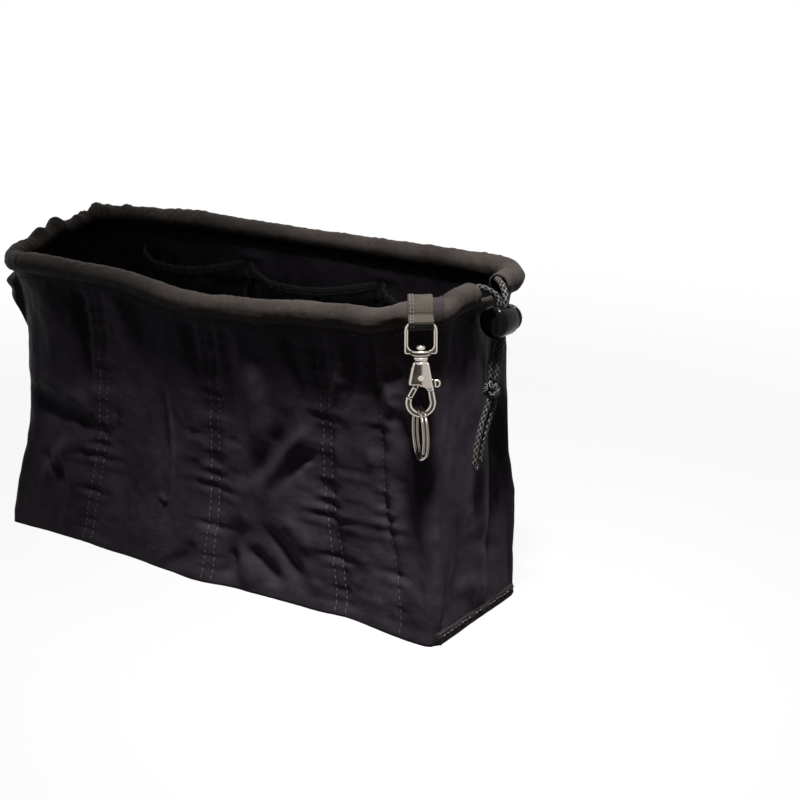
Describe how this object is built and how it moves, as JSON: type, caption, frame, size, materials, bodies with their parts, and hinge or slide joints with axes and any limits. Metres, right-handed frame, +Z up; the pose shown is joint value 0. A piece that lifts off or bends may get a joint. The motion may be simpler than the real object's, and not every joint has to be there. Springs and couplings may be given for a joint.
{
  "type": "purse organizer insert",
  "caption": "Soft nylon purse organizer insert with gathered inner pockets, a drawcord rim with a barrel cord lock, and a swivel snap hook with a split ring on a webbing tab.",
  "frame": {"origin": "middle of the flat base, between the right and left ends and between the straight front and back hems", "axes": "+X along the length to the end with the cord lock, +Z up through the mouth, -Y out of the front"},
  "size_m": [0.3059, 0.1047, 0.1726],
  "materials": {
    "nylon": "woven nylon, soft sheen",
    "casing_nylon": "woven nylon tape, soft sheen",
    "lining_nylon": "woven nylon lining",
    "elastic_knit": "ribbed knit elastic",
    "webbing": "woven grosgrain tape",
    "speckled_cord": "braided cord, black with white flecks",
    "black_plastic": "glossy moulded",
    "nickel": "polished nickel plate",
    "spring_steel": "drawn wire"
  },
  "bodies": {
    "bag": {"front_panel": "nylon", "right_end_panel": "nylon", "back_panel": "nylon", "left_end_panel": "nylon", "bottom_panel": "nylon", "right_seam_binding": "casing_nylon", "left_seam_binding": "casing_nylon", "rim_casing": "casing_nylon", "casing_band": "casing_nylon", "drawcord": "speckled_cord", "cord_strand_front": "speckled_cord", "cord_strand_rear": "speckled_cord", "cord_tail_front": "speckled_cord", "cord_tail_rear": "speckled_cord", "cord_knot": "speckled_cord", "front_left_pocket": "lining_nylon", "front_left_elastic": "elastic_knit", "front_centre_left_pocket": "lining_nylon", "front_centre_left_elastic": "elastic_knit", "front_centre_right_pocket": "lining_nylon", "front_centre_right_elastic": "elastic_knit", "front_narrow_pocket": "lining_nylon", "front_narrow_elastic": "elastic_knit", "front_right_pocket": "lining_nylon", "front_right_elastic": "elastic_knit", "back_right_pocket": "lining_nylon", "back_right_elastic": "elastic_knit", "back_middle_pocket": "lining_nylon", "back_middle_elastic": "elastic_knit", "back_left_pocket": "lining_nylon", "back_left_elastic": "elastic_knit", "left_end_pocket": "lining_nylon", "left_end_elastic": "elastic_knit", "clip_tab": "webbing"},
    "cord_lock": {"lock_barrel": "black_plastic", "lock_spring": "spring_steel"},
    "plunger": {"lock_plunger": "black_plastic"},
    "eye": {"clip_eye": "nickel"},
    "snap_hook": {"swivel_stud": "nickel", "hook_body": "nickel", "gate_rivet": "nickel", "gate_spring": "spring_steel"},
    "gate": {"hook_gate": "nickel"},
    "split_ring": {"key_ring": "nickel"}
  },
  "joints": [
    {"name": "cord_lock_slide", "type": "slide", "parent": "bag", "child": "cord_lock", "axis": [-0.0785, -0.0574, -0.9953], "range_m": [0, 0.018]},
    {"name": "plunger_press", "type": "slide", "parent": "cord_lock", "child": "plunger", "axis": [0, -0.9983, 0.0576], "range_m": [0, 0.0025], "stiffness_N_per_m": 600, "springref_m": -0.005, "deforming": ["lock_spring"]},
    {"name": "clip_eye_swing", "type": "hinge", "parent": "bag", "child": "eye", "pos_m": [0.13937, -0.04591, 0.1604], "axis": [-0.809, -0.5878, 0], "range_deg": [0, 90]},
    {"name": "clip_swivel", "type": "hinge", "parent": "eye", "child": "snap_hook", "pos_m": [0.13937, -0.04591, 0.1456], "axis": [0, 0, 1], "continuous": true},
    {"name": "gate_hinge", "type": "hinge", "parent": "snap_hook", "child": "gate", "pos_m": [0.13937, -0.04591, 0.1357], "axis": [0.5878, -0.809, 0], "range_deg": [0, 25], "stiffness_Nm_per_rad": 0.03, "springref_deg": -28.65, "deforming": ["gate_spring"]},
    {"name": "key_ring_swing", "type": "hinge", "parent": "snap_hook", "child": "split_ring", "pos_m": [0.13937, -0.04591, 0.11835], "axis": [0.7071, 0.7071, 0], "range_deg": [-100, 0]}
  ]
}
